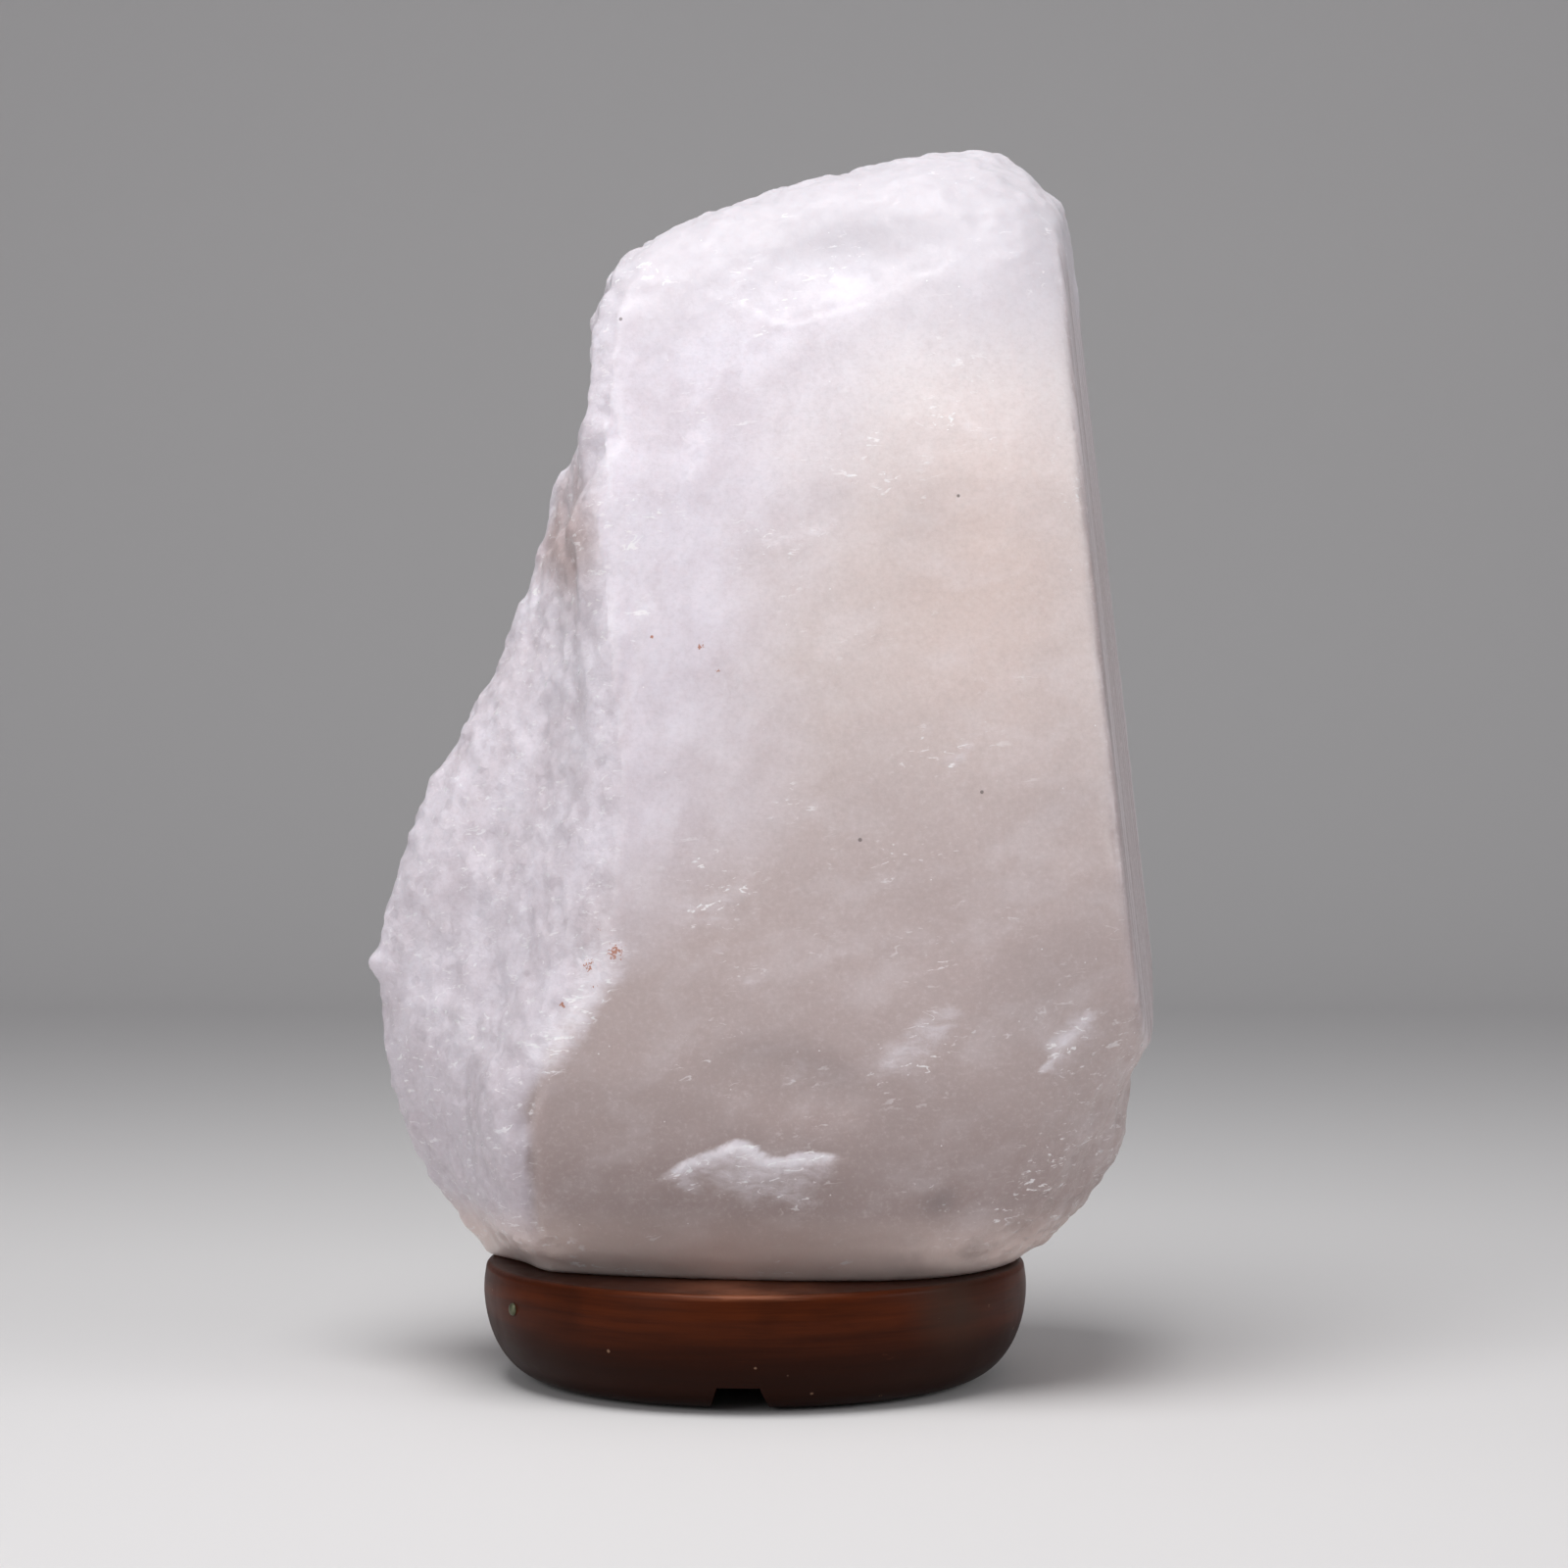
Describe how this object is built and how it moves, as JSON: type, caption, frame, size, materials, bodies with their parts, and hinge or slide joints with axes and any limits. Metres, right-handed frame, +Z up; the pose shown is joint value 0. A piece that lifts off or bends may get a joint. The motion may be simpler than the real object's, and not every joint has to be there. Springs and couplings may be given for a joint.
{
  "type": "salt crystal lamp",
  "caption": "Table lamp: a rough block of white rock salt, sawn flat on one side, on a turned wooden base, lit from a bore by a small bulb in a clip-in holder.",
  "frame": {"origin": "on the lamp's vertical axis, in the plane of the table that the felt ring rests on", "axes": "+Z up, -Y out of the front face of the crystal and along the cord channel, +X towards the sawn face"},
  "size_m": [0.1699, 0.1167, 0.262],
  "materials": {
    "rock_salt": "satin, broken and sawn crystal",
    "stained_wood": "stained reddish brown, satin",
    "felt": "matte",
    "plug_plastic": "matte",
    "zinc_steel": "zinc plated",
    "pin_metal": "dull, tarnished",
    "holder_plastic": "moulded black",
    "insulator_ceramic": "cream insulator",
    "brass": "satin",
    "spring_steel": "bright spring steel",
    "cap_metal": "rolled thread shell",
    "solder": "dull",
    "black_glass": "vitrified insulator",
    "clear_glass": "clear",
    "tungsten": "drawn wire"
  },
  "bodies": {
    "lamp": {"salt_crystal": "rock_salt", "wood_base": "stained_wood", "felt_ring": "felt", "wall_plugs": "plug_plastic", "base_screws": "zinc_steel", "side_pin": "pin_metal"},
    "lampholder": {"holder_cap": "holder_plastic", "holder_body": "holder_plastic", "holder_insert": "insulator_ceramic", "thread_shell": "brass", "centre_contact": "brass", "terminal_blocks": "brass", "terminal_screws": "zinc_steel", "nipple": "zinc_steel", "lock_nut": "zinc_steel", "lock_washer": "zinc_steel", "clip_plate": "spring_steel"},
    "left_arm": {"clip_arm_left": "spring_steel"},
    "right_arm": {"clip_arm_right": "spring_steel"},
    "bulb_tip": {"bulb_contact": "solder"},
    "bulb": {"bulb_insulator": "black_glass", "bulb_cap": "cap_metal", "bulb_glass": "clear_glass", "glass_stem": "clear_glass", "lead_wires": "tungsten", "filament": "tungsten", "filament_supports": "tungsten"}
  },
  "joints": [
    {"name": "holder_slide", "type": "slide", "parent": "lamp", "child": "lampholder", "axis": [0, 0, -1], "range_m": [0, 0.105]},
    {"name": "left_arm_flex", "type": "hinge", "parent": "lampholder", "child": "left_arm", "pos_m": [-0.0143, 0, 0.0177], "axis": [0, 1, 0], "range_deg": [0, 4], "stiffness_Nm_per_rad": 0.5},
    {"name": "right_arm_flex", "type": "hinge", "parent": "lampholder", "child": "right_arm", "pos_m": [0.0143, 0, 0.0177], "axis": [0, -1, 0], "range_deg": [0, 4], "stiffness_Nm_per_rad": 0.5},
    {"name": "bulb_rise", "type": "slide", "parent": "lampholder", "child": "bulb_tip", "axis": [0, 0, 1], "range_m": [0, 0.01411]},
    {"name": "bulb_turn", "type": "hinge", "parent": "bulb_tip", "child": "bulb", "pos_m": [0, 0, 0.05], "axis": [0, 0, 1], "range_deg": [0, 1800]}
  ],
  "couplings": [
    {"joint": "bulb_rise", "follows": "bulb_turn", "m_per_rad": 0.00044882}
  ]
}
